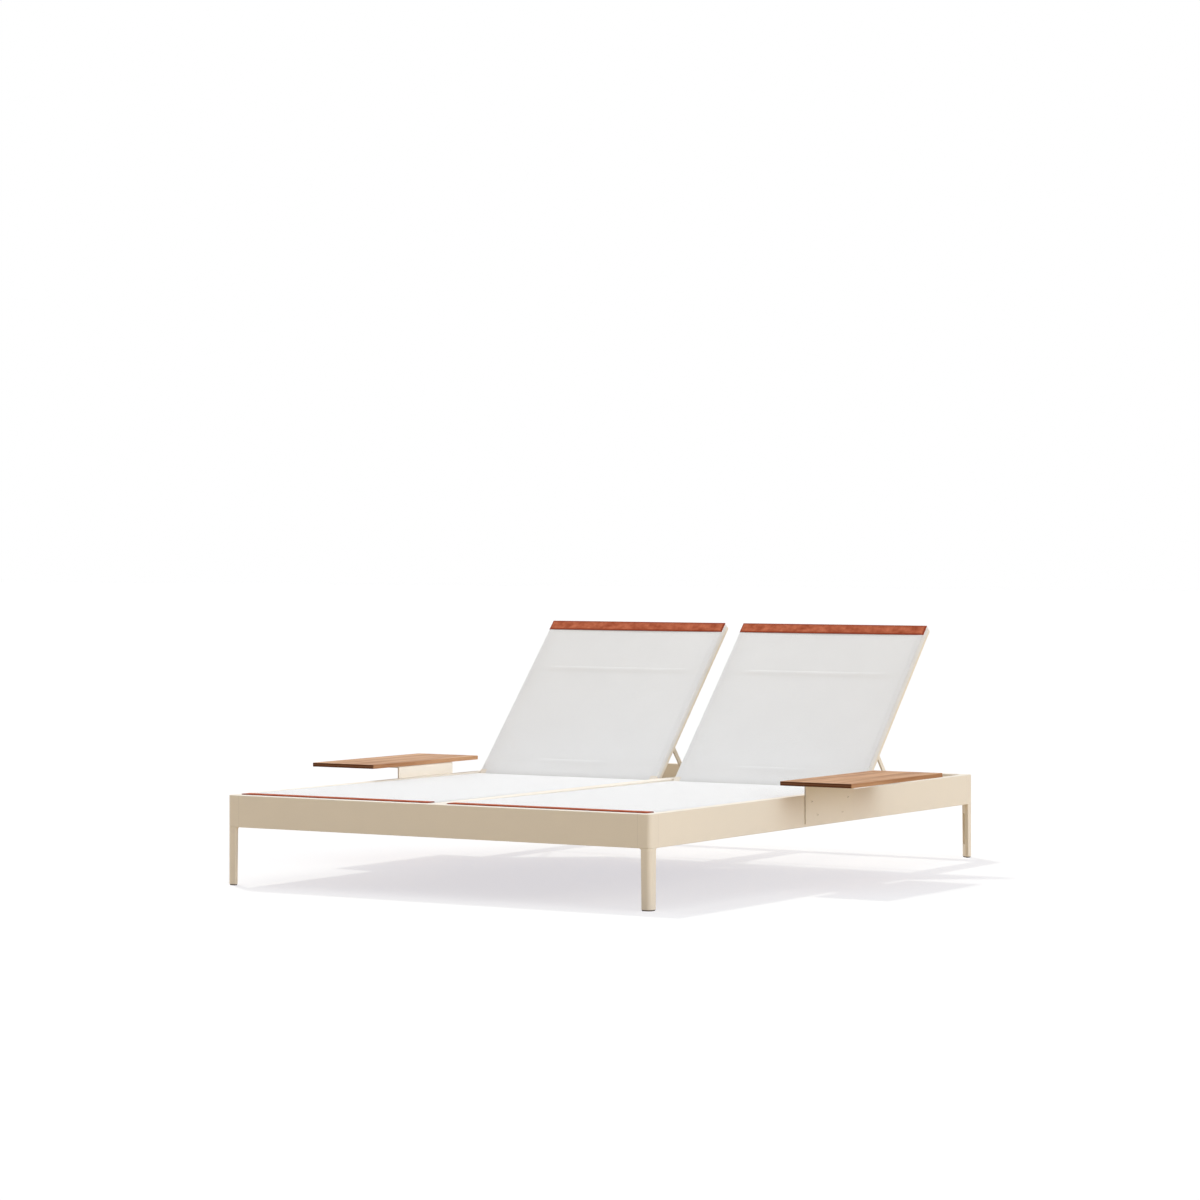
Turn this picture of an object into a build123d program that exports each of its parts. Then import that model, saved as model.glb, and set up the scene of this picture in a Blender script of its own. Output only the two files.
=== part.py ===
from build123d import *
import math
import os

# Double chaise lounger for a patio: a low rectangular frame of powder-coated
# aluminium on four cast corner legs, with a centre rail and two sling beds.
# Each bed has a fixed seat and a hinged backrest on a folding prop, and a teak
# side table stands on a folded plate on the outside of each side rail.
# Millimetres, +X right, -Y foot end, +Y head end, +Z up, origin on the floor
# under the middle of the frame.

# Main frame
frame_length = 2000
frame_width = 1450
rail_top = 265
rail_height = 94
rail_thickness = 28
rail_wall = 3
rail_edge_radius = 2
centre_rail_width = 46

# Corner castings and legs
corner_arm = 42
corner_radius = 14
corner_inner_radius = 1
spigot_length = 30
spigot_clearance = 0.3
leg_top_width = 32
leg_foot_width = 30
leg_wall = 10
leg_edge_radius = 2.5
leg_root_radius = 4
leg_pocket_width = 20
leg_pocket_depth = 4
leg_pocket_bottom = 39
leg_pocket_top = 142.5
foot_pad_height = 3
foot_pad_inset = 1.5

# Sling beds, the same section for seat and backrest
panel_rail_gap = 1.2
panel_centre_gap = 10.4
panel_thickness = 29
sling_thickness = 1.2
sling_side_wrap = 17
sling_edge_radius = 3.2
side_tube_width = 22
tube_wall = 2.5
tube_edge_radius = 3
end_tube_depth = 22
end_tube_height = 20
crossbar_depth = 20
crossbar_height = 13
crossbar_edge_radius = 2
trim_depth = 40
trim_thickness = 1.5

# Seat
seat_front_gap = 0.5
seat_front_rise = 1.5
seat_rear_drop = 4.8
seat_crossbar_reaches = (652, 137)
seat_bracket_length = 60
seat_bracket_thickness = 4
seat_bracket_drop = 30
seat_bracket_y_shares = (0.18, 0.82)

# Backrest and its hinge
back_angle = 47.4
back_length = 663
back_drop = 3
back_end_gap = 11.7
hinge_sweep_gap = 2.5
hinge_pin_diameter = 10
hinge_pin_reach = 18
hinge_boss_diameter = 18
knuckle_length = 20.4
running_clearance = 0.05
face_gap = 0.3
back_crossbars = (88, 475)
back_end_setback = 2.5

# Folding prop
prop_reach = 182
prop_arm_length = 238.6
prop_turn_ratio = 1.8
prop_arm_width = 15
prop_arm_thickness = 6
prop_arm_edge_radius = 1
prop_rod_diameter = 12
prop_rod_wall = 1.5
prop_rod_below_top = 65
prop_rod_end_gap = 2
prop_rod_dip = 1
prop_pin_diameter = 8
prop_pin_head_diameter = 14
prop_pin_head = 3
prop_washer = 0.7

# Racks on the rails' inner faces that the prop's rod rests on
stop_angles = (60, 47.4, 35, 20, 0)
notch_depth = 2.5
rack_height = 15
rack_thickness = 8
rack_end = 15

# Side tables
table_ahead_of_hinge = 270.3
table_rise = 49
board_width = 235.4
board_length = 588
board_thickness = 12.5
board_overlap = 4
board_corner_radius = 5
board_edge_radius = 1.5
plate_length = 300
plate_thickness = 4.5
plate_bottom_drop = 85.5
plate_flange = 150
plate_bend_radius = 5
upper_screw_drop = 20
upper_screw_half_pitch = 113
lower_screw_drop = 61.6
lower_screw_half_pitch = 78
screw_diameter = 6
screw_head_diameter = 9
screw_head_height = 2
screw_length = 14
screw_hole_clearance = 0.3
board_screw_diameter = 4.5
board_screw_bite = 8
board_screw_x_share = 0.3
board_screw_y_share = 0.4

# Long enough to cut clear through any wall here
overrun = 20

quarter_turn = 90

# Worked out from the sizes above
half_length = frame_length / 2
half_width = frame_width / 2
rail_bottom = rail_top - rail_height
rail_middle = rail_top - rail_height / 2
side_rail_face = half_width - rail_thickness
centre_rail_face = centre_rail_width / 2
panel_inner_x = centre_rail_face + panel_centre_gap
panel_width = side_rail_face - panel_rail_gap - panel_inner_x
half_panel = panel_width / 2
panel_centre_x = panel_inner_x + half_panel
half_thickness = panel_thickness / 2
tube_top = half_thickness - sling_thickness
between_tubes = panel_width - 2 * side_tube_width
hinge_y = half_length - rail_thickness - back_end_gap - back_length
hinge_z = rail_top - back_drop - half_thickness
hinge_clear_radius = half_thickness + hinge_sweep_gap
seat_front_y = rail_thickness + seat_front_gap - half_length
seat_frame_length = hinge_y - hinge_clear_radius - seat_front_y
seat_tilt = math.degrees(math.atan2(seat_front_rise + seat_rear_drop, seat_frame_length))
prop_arm_x = half_panel - side_tube_width - prop_washer - face_gap - prop_arm_thickness / 2
prop_rod_z = rail_top - prop_rod_below_top
prop_pivot_z = hinge_z + prop_reach * math.sin(math.radians(back_angle))
prop_angle = math.degrees(math.asin((prop_pivot_z - prop_rod_z) / prop_arm_length))
rack_top = prop_rod_z - prop_rod_diameter / 2 - prop_rod_dip - face_gap
table_centre_y = hinge_y - table_ahead_of_hinge
table_top = rail_top + table_rise


def block(x0, x1, y0, y1, z0, z1):
    """Box between two corners."""
    box = Box(x1 - x0, y1 - y0, z1 - z0)
    return Pos((x0 + x1) / 2, (y0 + y1) / 2, (z0 + z1) / 2) * box


def rod_x(diameter, x0, x1, y, z):
    """Round bar along X."""
    return Pos(x0, y, z) * extrude(Plane.YZ * Circle(diameter / 2), x1 - x0)


def outline(points, radii):
    """Face inside a closed outline with a rounding at each corner."""
    return make_face(FilletPolyline(*points, radius=radii, close=True))


def box_section(width, height, wall, radius):
    """Hollow rectangular extrusion with rounded outer edges."""
    hollow = Rectangle(width - 2 * wall, height - 2 * wall)
    return RectangleRounded(width, height, radius) - hollow


def bar_x(section, x0, x1, y, z):
    """Extrusion along X, its section drawn with Y across and Z up."""
    return Pos(x0, y, z) * extrude(Plane.YZ * section, x1 - x0)


def bar_y(section, y0, y1, x, z):
    """Extrusion along Y, its section drawn with X across and Z up."""
    return Pos(x, y1, z) * extrude(Plane.XZ * section, y1 - y0)


def mirrored(shape):
    """The same piece on the other side of the middle plane."""
    return mirror(shape, about=Plane.YZ)


def both_sides(shape):
    """The piece and its mirror image, as separate solids."""
    return [shape, mirrored(shape)]


def node(*solids):
    """Several separate solids under one name."""
    return Compound(children=[part for solid in solids for part in solid.solids()])


# Main frame

def cross_rail(end):
    """Front (end -1) or rear (end +1) rail between the corner castings."""
    section = box_section(rail_thickness, rail_height, rail_wall, rail_edge_radius)
    reach = half_width - corner_arm
    y = end * (half_length - rail_thickness / 2)
    return bar_x(section, -reach, reach, y, rail_middle)


def side_rail():
    """Right side rail, drilled in its outer wall for the table's screws."""
    section = box_section(rail_thickness, rail_height, rail_wall, rail_edge_radius)
    reach = half_length - corner_arm
    rail = bar_y(section, -reach, reach, half_width - rail_thickness / 2, rail_middle)
    for y, z in table_screw_places():
        hole = screw_diameter + 2 * screw_hole_clearance
        rail -= rod_x(hole, half_width - 2 * rail_wall, half_width + overrun, y, z)
    return rail


def centre_rail():
    """Rail between the beds, butted against the front and rear rails."""
    section = box_section(centre_rail_width, rail_height, rail_wall, rail_edge_radius)
    reach = half_length - rail_thickness
    return bar_y(section, -reach, reach, 0, rail_middle)


def leg_section(width):
    """Square leg with a round outer corner and its inner corner cut off."""
    points = [(0, 0), (width, 0), (width, leg_wall), (leg_wall, width), (0, width)]
    small = leg_edge_radius
    return outline(points, [corner_radius, small, small, small, small])


def corner_block():
    """Rail-high corner with an arm along each rail and a spigot in each."""
    arm = corner_arm
    thick = rail_thickness
    points = [(0, 0), (arm, 0), (arm, thick), (thick, thick), (thick, arm), (0, arm)]
    radii = [corner_radius, 0, 0, corner_inner_radius, 0, 0]
    body = Pos(0, 0, rail_bottom) * extrude(outline(points, radii), rail_height)
    long_edges = ShapeList()
    for face in (body.faces().sort_by(Axis.Z)[0], body.faces().sort_by(Axis.Z)[-1]):
        for edge in face.edges():
            middle = edge.center()
            if max(middle.X, middle.Y) < arm - spigot_clearance:
                long_edges.append(edge)
    body = fillet(long_edges, rail_edge_radius)
    inset = rail_wall + spigot_clearance
    low = rail_bottom + inset
    high = rail_top - inset
    far = arm + spigot_length
    body += block(arm - overrun, far, inset, thick - inset, low, high)
    body += block(inset, thick - inset, arm - overrun, far, low, high)
    return body


def corner_leg():
    """Corner casting with its tapered leg, outer corner at the origin."""
    foot = Pos(0, 0, foot_pad_height) * leg_section(leg_foot_width)
    neck = Pos(0, 0, rail_bottom - leg_root_radius) * leg_section(leg_top_width)
    root = Pos(0, 0, rail_bottom) * leg_section(leg_top_width + leg_root_radius)
    leg = loft([foot, neck])
    leg = fillet(leg.faces().sort_by(Axis.Z)[0].edges(), leg_edge_radius / 2)
    leg += loft([neck, root])
    pocket_height = leg_pocket_top - leg_pocket_bottom
    middle = (leg_foot_width + leg_wall) / 2
    centre = (middle, middle, (leg_pocket_top + leg_pocket_bottom) / 2)
    face = Plane(origin=centre, x_dir=(0, 0, 1), z_dir=(1, 1, 0))
    slot = SlotOverall(pocket_height, leg_pocket_width)
    leg -= extrude(face * slot, leg_pocket_depth, both=True)
    return corner_block() + leg


def foot_pad():
    """Thin glide under a leg, set in a little from its outline."""
    return extrude(offset(leg_section(leg_foot_width), -foot_pad_inset), foot_pad_height)


def at_corners(shape):
    """One copy at each corner: front left, front right, rear right, rear left."""
    copies = []
    for turns, (x, y) in enumerate([(-1, -1), (1, -1), (1, 1), (-1, 1)]):
        place = Pos(x * half_width, y * half_length, 0) * Rot(0, 0, turns * quarter_turn)
        copies.append(place * shape)
    return copies


# Sling bed: sections and bars in the panel's own frame, y along the panel from
# its driving end and z from mid-thickness, for the right-hand bed

def side_tube_section():
    """Side tube seen along the panel, rebated where the sling wraps it."""
    lip = half_thickness - sling_side_wrap
    wrapped = side_tube_width - sling_thickness
    points = [
        (0, -half_thickness),
        (side_tube_width, -half_thickness),
        (side_tube_width, lip),
        (wrapped, lip),
        (wrapped, tube_top),
        (0, tube_top),
    ]
    rear = tube_edge_radius
    front = sling_edge_radius - sling_thickness
    tube = outline(points, [rear, rear, 0, 0, front, 0])
    hollow_width = wrapped - 2 * tube_wall
    hollow_height = panel_thickness - sling_thickness - 2 * tube_wall
    hollow = Rectangle(hollow_width, hollow_height)
    return tube - Pos(tube_wall + hollow_width / 2, -sling_thickness / 2) * hollow


def side_tubes(y0, y1):
    """The two side tubes of a panel, wrapped sides outwards."""
    outer = bar_y(side_tube_section(), y0, y1, between_tubes / 2, 0)
    return both_sides(outer)


def cross_tube(y0, depth, height, top):
    """Tube across the panel between the side tubes."""
    section = box_section(depth, height, tube_wall, crossbar_edge_radius)
    reach = between_tubes / 2
    return bar_x(section, -reach, reach, y0 + depth / 2, top - height / 2)


def end_tube(y0):
    """Cross tube at a panel's end, which the sling is turned over."""
    return cross_tube(y0, end_tube_depth, end_tube_height, tube_top)


def crossbar(y):
    """Low cross tube, level with the underside of the side tubes."""
    top = crossbar_height - half_thickness
    return cross_tube(y - crossbar_depth / 2, crossbar_depth, crossbar_height, top)


def sling_sheet(half, y0, y1):
    """Flat stretch of taut sling."""
    return block(-half, half, y0, y1, tube_top, half_thickness)


def sling_top(y0, y1):
    """Taut sling over the panel and its two edges, turned over the side tubes."""
    flat = half_panel - 2 * sling_edge_radius
    inner = half_panel - sling_thickness
    low = half_thickness - sling_side_wrap
    points = [
        (flat, tube_top),
        (flat, half_thickness),
        (half_panel, half_thickness),
        (half_panel, low),
        (inner, low),
        (inner, tube_top),
    ]
    fold = sling_edge_radius - sling_thickness
    section = outline(points, [0, 0, sling_edge_radius, 0, 0, fold])
    return [sling_sheet(flat, y0, y1)] + both_sides(bar_y(section, y0, y1, 0, 0))


def sling_turn(half, y0):
    """End of the sling, turned down over an end tube."""
    low = tube_top - end_tube_height
    return block(-half, half, y0, y0 + sling_thickness, low, tube_top)


def trim_strip(y0):
    """Flat leather strip sewn over the end of the sling."""
    high = half_thickness + trim_thickness
    return block(-half_panel, half_panel, y0, y0 + trim_depth, half_thickness, high)


# Seat

def on_seat(shape):
    """Places a piece of the right seat, which slopes down towards the hinge."""
    front = Pos(panel_centre_x, seat_front_y, rail_top + seat_front_rise)
    return front * Rot(-seat_tilt, 0, 0) * Pos(0, 0, -half_thickness) * shape


def seat_cross_tubes():
    """Foot tube, two crossbars and rear tube."""
    foot = end_tube(sling_thickness)
    middle = [crossbar(hinge_y - reach - seat_front_y) for reach in seat_crossbar_reaches]
    rear = end_tube(seat_frame_length - end_tube_depth)
    return [foot, *middle, rear]


def seat_sling():
    """Seat sling, turned down at the foot and cut back for the hinge."""
    sweep = rod_x(2 * hinge_clear_radius, 0, half_width, hinge_y, hinge_z)
    pieces = [on_seat(piece) - sweep for piece in sling_top(0, hinge_y - seat_front_y)]
    return pieces + [on_seat(sling_turn(half_panel - sling_thickness, 0))]


def seat_brackets():
    """Angle brackets that carry the seat on the side rail and centre rail."""
    brackets = []
    thick = seat_bracket_thickness
    top = -half_thickness
    outer_face = side_rail_face - panel_centre_x
    inner_face = centre_rail_face - panel_centre_x
    for share in seat_bracket_y_shares:
        y = share * seat_frame_length
        y0 = y - seat_bracket_length / 2
        y1 = y + seat_bracket_length / 2
        for face, inward in ((outer_face, -1), (inner_face, 1)):
            tube_face = -inward * (half_panel - side_tube_width)
            shelf = block(min(face, tube_face), max(face, tube_face), y0, y1, top - thick, top)
            web = face + inward * thick
            low = top - seat_bracket_drop
            shelf += block(min(face, web), max(face, web), y0, y1, low, top - thick)
            brackets.append(shelf)
    return brackets


# Backrest, built flat with the hinge axis along x through its origin

def on_back(shape):
    """Places a piece of the right backrest at the raised angle."""
    return Pos(panel_centre_x, hinge_y, hinge_z) * Rot(back_angle, 0, 0) * shape


def knuckle():
    """Cast hinge end of a side tube, with a spigot in the tube."""
    x0 = between_tubes / 2
    x1 = half_panel
    eye = rod_x(panel_thickness, x0, x1, 0, 0)
    neck = block(x0, x1, 0, knuckle_length, -half_thickness, half_thickness)
    inset = tube_wall + spigot_clearance
    spigot = block(
        x0 + inset,
        x1 - sling_thickness - inset,
        0,
        knuckle_length + spigot_length,
        inset - half_thickness,
        tube_top - inset,
    )
    bore = rod_x(hinge_pin_diameter + 2 * running_clearance, x0 - overrun, x1 + overrun, 0, 0)
    return eye + neck + spigot - bore


def back_cross_tubes():
    """Bottom tube, two crossbars and head tube."""
    bottom = end_tube(back_end_setback)
    middle = [crossbar(y) for y in back_crossbars]
    head = end_tube(back_length - sling_thickness - end_tube_depth)
    return [bottom, *middle, head]


def back_sling():
    """Backrest sling, turned over the head tube and, between the knuckles, the bottom tube."""
    head = sling_turn(half_panel - sling_thickness, back_length - sling_thickness)
    tongue = between_tubes / 2 - face_gap
    start = back_end_setback - sling_thickness
    low = [sling_sheet(tongue, start, knuckle_length), sling_turn(tongue, start)]
    return sling_top(knuckle_length, back_length) + [head] + low


def prop_pins():
    """Headed pins on the side tubes that the prop swings on."""
    y = prop_reach
    face = between_tubes / 2
    arm_inner = prop_arm_x - prop_arm_thickness / 2
    head = arm_inner - face_gap
    pin = rod_x(prop_pin_head_diameter, face - prop_washer, face, y, 0)
    pin += rod_x(prop_pin_diameter, head, face - prop_washer, y, 0)
    pin += rod_x(prop_pin_head_diameter, head - prop_pin_head, head, y, 0)
    return both_sides(pin)


def hinge_studs():
    """Studs on the side rail and centre rail that the knuckles turn on."""
    outer = rod_x(hinge_pin_diameter, panel_centre_x + half_panel - hinge_pin_reach,
                  side_rail_face, hinge_y, hinge_z)
    knuckle_face = panel_centre_x - half_panel
    inner = rod_x(hinge_boss_diameter, centre_rail_face, knuckle_face - face_gap, hinge_y, hinge_z)
    inner += rod_x(hinge_pin_diameter, centre_rail_face, knuckle_face + hinge_pin_reach,
                   hinge_y, hinge_z)
    return [outer, inner]


# Folding prop, hung from the pins and leaning back to the racks

def on_prop(shape):
    """Places a piece drawn along y from the prop's pivot."""
    turn = Rot(-back_angle - prop_angle, 0, 0)
    return on_back(Pos(0, prop_reach, 0) * turn * shape)


def prop_arms():
    """Flat arms with round ends, bored for the pins and the rod."""
    slot = SlotCenterToCenter(prop_arm_length, prop_arm_width)
    across = Plane(origin=(0, prop_arm_length / 2, 0), x_dir=(0, 1, 0), z_dir=(1, 0, 0))
    arm = extrude(across * slot, prop_arm_thickness / 2, both=True)
    arm = fillet(arm.edges().filter_by(GeomType.LINE), prop_arm_edge_radius)
    bore = prop_pin_diameter + 2 * running_clearance
    arm -= rod_x(bore, -overrun, overrun, 0, 0)
    bore = prop_rod_diameter + 2 * running_clearance
    arm -= rod_x(bore, -overrun, overrun, prop_arm_length, 0)
    return both_sides(Pos(prop_arm_x, 0, 0) * arm)


def prop_rod():
    """Tube through the lower ends of the arms, reaching over both racks."""
    x0 = centre_rail_face + prop_rod_end_gap - panel_centre_x
    x1 = side_rail_face - prop_rod_end_gap - panel_centre_x
    rod = rod_x(prop_rod_diameter, x0, x1, prop_arm_length, 0)
    bore = prop_rod_diameter - 2 * prop_rod_wall
    return rod - rod_x(bore, x0 - overrun, x1 + overrun, prop_arm_length, 0)


def rod_stop(angle):
    """How far back the prop's rod lies for a backrest angle."""
    fall = prop_angle + (prop_turn_ratio - 1) * (angle - back_angle)
    pivot = hinge_y + prop_reach * math.cos(math.radians(angle))
    return pivot + prop_arm_length * math.cos(math.radians(fall))


def racks():
    """Notched strips on the inner faces of the side rail and centre rail."""
    stops = [rod_stop(angle) for angle in stop_angles]
    y0 = min(stops) - rack_end
    y1 = max(stops) + rack_end
    z = rack_top - notch_depth + prop_rod_diameter / 2
    strips = []
    for x in (centre_rail_face, side_rail_face - rack_thickness):
        strip = block(x, x + rack_thickness, y0, y1, rack_top - rack_height, rack_top)
        for y in stops:
            strip -= rod_x(prop_rod_diameter, x - overrun, x + rack_thickness + overrun, y, z)
        strips.append(strip)
    return strips


# Side tables

def table_screw_places():
    """Where the four screws of a table plate go, as (y, z)."""
    places = []
    for sign in (-1, 1):
        upper = table_centre_y + sign * upper_screw_half_pitch
        lower = table_centre_y + sign * lower_screw_half_pitch
        places.append((upper, rail_top - upper_screw_drop))
        places.append((lower, rail_top - lower_screw_drop))
    return places


def board_screw_places():
    """Where the four board screws go through the plate's flange, as (x, y)."""
    middle = half_width + (plate_thickness + plate_flange) / 2
    x_reach = board_screw_x_share * plate_flange
    y_reach = board_screw_y_share * plate_length
    return [(middle + i * x_reach, table_centre_y + j * y_reach) for i in (-1, 1) for j in (-1, 1)]


def table_plate():
    """Folded plate: an upright leaf on the rail and a flange under the board."""
    y0 = table_centre_y - plate_length / 2
    y1 = table_centre_y + plate_length / 2
    plate_bottom = rail_top - plate_bottom_drop
    under = table_top - board_thickness
    outer = plate_bend_radius
    inner = plate_bend_radius - plate_thickness
    far = half_width + plate_flange
    points = [
        (half_width, plate_bottom),
        (half_width, under),
        (far, under),
        (far, under - plate_thickness),
        (half_width + plate_thickness, under - plate_thickness),
        (half_width + plate_thickness, plate_bottom),
    ]
    section = outline(points, [0, outer, 0, 0, inner, 0])
    plate = bar_y(section, y0, y1, 0, 0)
    hole = screw_diameter + 2 * screw_hole_clearance
    for y, z in table_screw_places():
        plate -= rod_x(hole, half_width - overrun, half_width + overrun, y, z)
    hole = board_screw_diameter + 2 * screw_hole_clearance
    for x, y in board_screw_places():
        plate -= Pos(x, y, under) * Cylinder(hole / 2, 2 * overrun)
    return plate


def table_board():
    """Teak board with eased edges and blind holes for its screws."""
    x0 = half_width - board_overlap
    y0 = table_centre_y - board_length / 2
    under = table_top - board_thickness
    board = block(x0, x0 + board_width, y0, y0 + board_length, under, table_top)
    board = fillet(board.edges().filter_by(Axis.Z), board_corner_radius)
    level = board.faces().sort_by(Axis.Z)
    board = fillet(level[0].edges() + level[-1].edges(), board_edge_radius)
    hole = board_screw_diameter + 2 * running_clearance
    depth = board_screw_bite + face_gap
    for x, y in board_screw_places():
        board -= Pos(x, y, under) * Cylinder(hole / 2, 2 * depth)
    return board


def table_screws():
    """Button-head screws through the plate into the side rail."""
    face = half_width + plate_thickness
    screws = []
    for y, z in table_screw_places():
        screw = rod_x(screw_head_diameter, face, face + screw_head_height, y, z)
        screw += rod_x(screw_diameter, face - screw_length, face, y, z)
        screws.append(screw)
    return screws


def board_screws():
    """Wood screws up through the flange into the board."""
    under = table_top - board_thickness
    face = under - plate_thickness
    screws = []
    for x, y in board_screw_places():
        head = Cylinder(screw_head_diameter / 2, screw_head_height)
        head = Pos(x, y, face - screw_head_height / 2) * head
        length = plate_thickness + board_screw_bite
        shank = Pos(x, y, face + length / 2) * Cylinder(board_screw_diameter / 2, length)
        screws.append(head + shank)
    return screws


# Right-hand pieces that have a mirror image on the left

def right_pieces():
    """Every piece of the right half, by the name of its node."""
    seat_start = sling_thickness
    back_end = back_length - sling_thickness
    return {
        "side_rail": [side_rail()],
        "seat_side_tubes": [on_seat(tube) for tube in side_tubes(seat_start, seat_frame_length)],
        "seat_cross_tubes": [on_seat(tube) for tube in seat_cross_tubes()],
        "seat_sling": seat_sling(),
        "foot_trim": [on_seat(trim_strip(0))],
        "seat_brackets": [on_seat(bracket) for bracket in seat_brackets()],
        "hinge_studs": hinge_studs(),
        "backrest_side_tubes": [on_back(tube) for tube in side_tubes(knuckle_length, back_end)],
        "backrest_knuckles": [on_back(end) for end in both_sides(knuckle())],
        "backrest_cross_tubes": [on_back(tube) for tube in back_cross_tubes()],
        "backrest_sling": [on_back(piece) for piece in back_sling()],
        "head_trim": [on_back(trim_strip(back_length - trim_depth))],
        "prop_pins": [on_back(pin) for pin in prop_pins()],
        "prop_arms": [on_prop(arm) for arm in prop_arms()],
        "prop_rod": [on_prop(prop_rod())],
        "prop_racks": racks(),
        "table_plate": [table_plate()],
        "table_board": [table_board()],
        "table_screws": table_screws(),
        "board_screws": board_screws(),
    }


def model():
    """Every node of the lounger by name."""
    nodes = {
        "front_rail": cross_rail(-1),
        "rear_rail": cross_rail(1),
        "centre_rail": centre_rail(),
        "foot_pads": node(*at_corners(foot_pad())),
    }
    names = ("front_left_leg", "front_right_leg", "rear_right_leg", "rear_left_leg")
    for name, leg in zip(names, at_corners(corner_leg())):
        nodes[name] = leg
    for name, solids in right_pieces().items():
        nodes["right_" + name] = node(*solids)
        nodes["left_" + name] = node(*[mirrored(solid) for solid in solids])
    return nodes


os.makedirs("parts", exist_ok=True)
for name, shape in model().items():
    export_step(shape, f"parts/{name}.step")
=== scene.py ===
import bpy
import math
import random
from mathutils import Matrix, Vector


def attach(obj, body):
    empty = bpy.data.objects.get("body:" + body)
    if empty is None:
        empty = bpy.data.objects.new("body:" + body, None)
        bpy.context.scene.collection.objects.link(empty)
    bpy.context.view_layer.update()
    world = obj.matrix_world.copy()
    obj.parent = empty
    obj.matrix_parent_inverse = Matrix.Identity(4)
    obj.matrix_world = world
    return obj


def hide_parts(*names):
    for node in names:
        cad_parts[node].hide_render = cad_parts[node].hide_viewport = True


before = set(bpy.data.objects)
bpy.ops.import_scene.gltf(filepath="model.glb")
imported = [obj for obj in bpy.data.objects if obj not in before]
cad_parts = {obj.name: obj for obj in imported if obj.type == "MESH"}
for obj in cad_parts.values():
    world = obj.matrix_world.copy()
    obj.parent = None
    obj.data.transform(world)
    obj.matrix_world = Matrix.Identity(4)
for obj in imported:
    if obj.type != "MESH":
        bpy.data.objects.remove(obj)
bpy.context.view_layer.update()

# Studio: a white floor that keeps the shadow and a white surround, lit by a high key lamp
# from the rear left, broad lamps from the right, the left and the front and a soft square
# lamp overhead, and seen by a level camera.
lens_mm = 107.8
sensor_mm = 36.0
camera_place = (5.771, -9.396, 1.007)
camera_level = math.radians(90)
camera_turn = math.radians(31.81)
camera_shift = -0.0481
seen_far = 200.0
fill_colour = (1.0, 0.99, 0.975, 1)
fill_strength = 0.34
background = (1, 1, 1, 1)
plain_white = (1.0, 1.0, 1.0)
soft_white = (1.0, 0.998, 0.99)
# Each sun lamp: its name, the way its light travels, its strength, its spread in degrees
# and its tint.
sun_lamps = (
    ("key_lamp", (0.62, -0.46, -1.0), 1.27, 4.0, plain_white),
    ("side_lamp", (-1.0, 0.05, -0.20), 1.66, 50.0, soft_white),
    ("front_lamp", (0.0, 0.6, -1.0), 0.24, 80.0, soft_white),
    ("left_lamp", (1.0, 0.0, -0.35), 0.90, 50.0, soft_white),
)
overhead_height = 2.4
overhead_size = 2.4
overhead_power = 7.0
floor_reach = 60.0
floor_lit = (0.62, 0.48, 0.29, 1)
floor_shown = (0.47, 0.475, 0.43, 1)
floor_glow = (0.927, 0.919, 1.0, 1)
floor_glow_strength = 0.632


def new_material(name):
    """An empty node material and its node tree."""
    material = bpy.data.materials.new(name)
    material.use_nodes = True
    tree = material.node_tree
    tree.nodes.clear()
    return material, tree


def add(tree, kind, inputs=None, **settings):
    """A node of that kind; an input is a value or another node's output."""
    made = tree.nodes.new("ShaderNode" + kind)
    for name, value in settings.items():
        setattr(made, name, value)
    for key, value in (inputs or {}).items():
        if isinstance(value, bpy.types.NodeSocket):
            tree.links.new(value, made.inputs[key])
        else:
            made.inputs[key].default_value = value
    return made


def maths(tree, operation, first, second=0.0, clamp=False):
    """The result of one sum."""
    return add(tree, "Math", {0: first, 1: second}, operation=operation, use_clamp=clamp).outputs[0]


def sees_background(tree):
    """1 for camera, mirror and clear rays, which see the plain background."""
    path = add(tree, "LightPath").outputs
    seen = maths(tree, "ADD", path["Is Camera Ray"], path["Is Glossy Ray"])
    return maths(tree, "ADD", seen, path["Is Transmission Ray"], clamp=True)


camera_data = bpy.data.cameras.new("camera")
camera_data.lens = lens_mm
camera_data.sensor_width = sensor_mm
camera_data.shift_y = camera_shift
camera_data.clip_end = seen_far
camera = bpy.data.objects.new("camera", camera_data)
camera.location = camera_place
camera.rotation_euler = (camera_level, 0, camera_turn)
bpy.context.collection.objects.link(camera)
bpy.context.scene.camera = camera
bpy.context.scene.view_settings.view_transform = "Standard"

world = bpy.data.worlds.new("studio")
world.use_nodes = True
sky = world.node_tree
sky.nodes.clear()
fill = add(sky, "Background", {"Color": fill_colour, "Strength": fill_strength})
white = add(sky, "Background", {"Color": background, "Strength": 1.0})
surround = add(sky, "MixShader", {0: sees_background(sky), 1: fill.outputs[0], 2: white.outputs[0]})
add(sky, "OutputWorld", {"Surface": surround.outputs[0]})
bpy.context.scene.world = world

for name, toward, strength, spread, tint in sun_lamps:
    lamp = bpy.data.lights.new(name, "SUN")
    lamp.energy = strength
    lamp.angle = math.radians(spread)
    lamp.color = tint
    holder = bpy.data.objects.new(name, lamp)
    holder.rotation_euler = Vector(toward).to_track_quat("-Z", "Y").to_euler()
    bpy.context.collection.objects.link(holder)

overhead_lamp = bpy.data.lights.new("overhead_lamp", "AREA")
overhead_lamp.shape = "SQUARE"
overhead_lamp.size = overhead_size
overhead_lamp.energy = overhead_power
overhead = bpy.data.objects.new("overhead_lamp", overhead_lamp)
overhead.location = (0, 0, overhead_height)
bpy.context.collection.objects.link(overhead)

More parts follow.
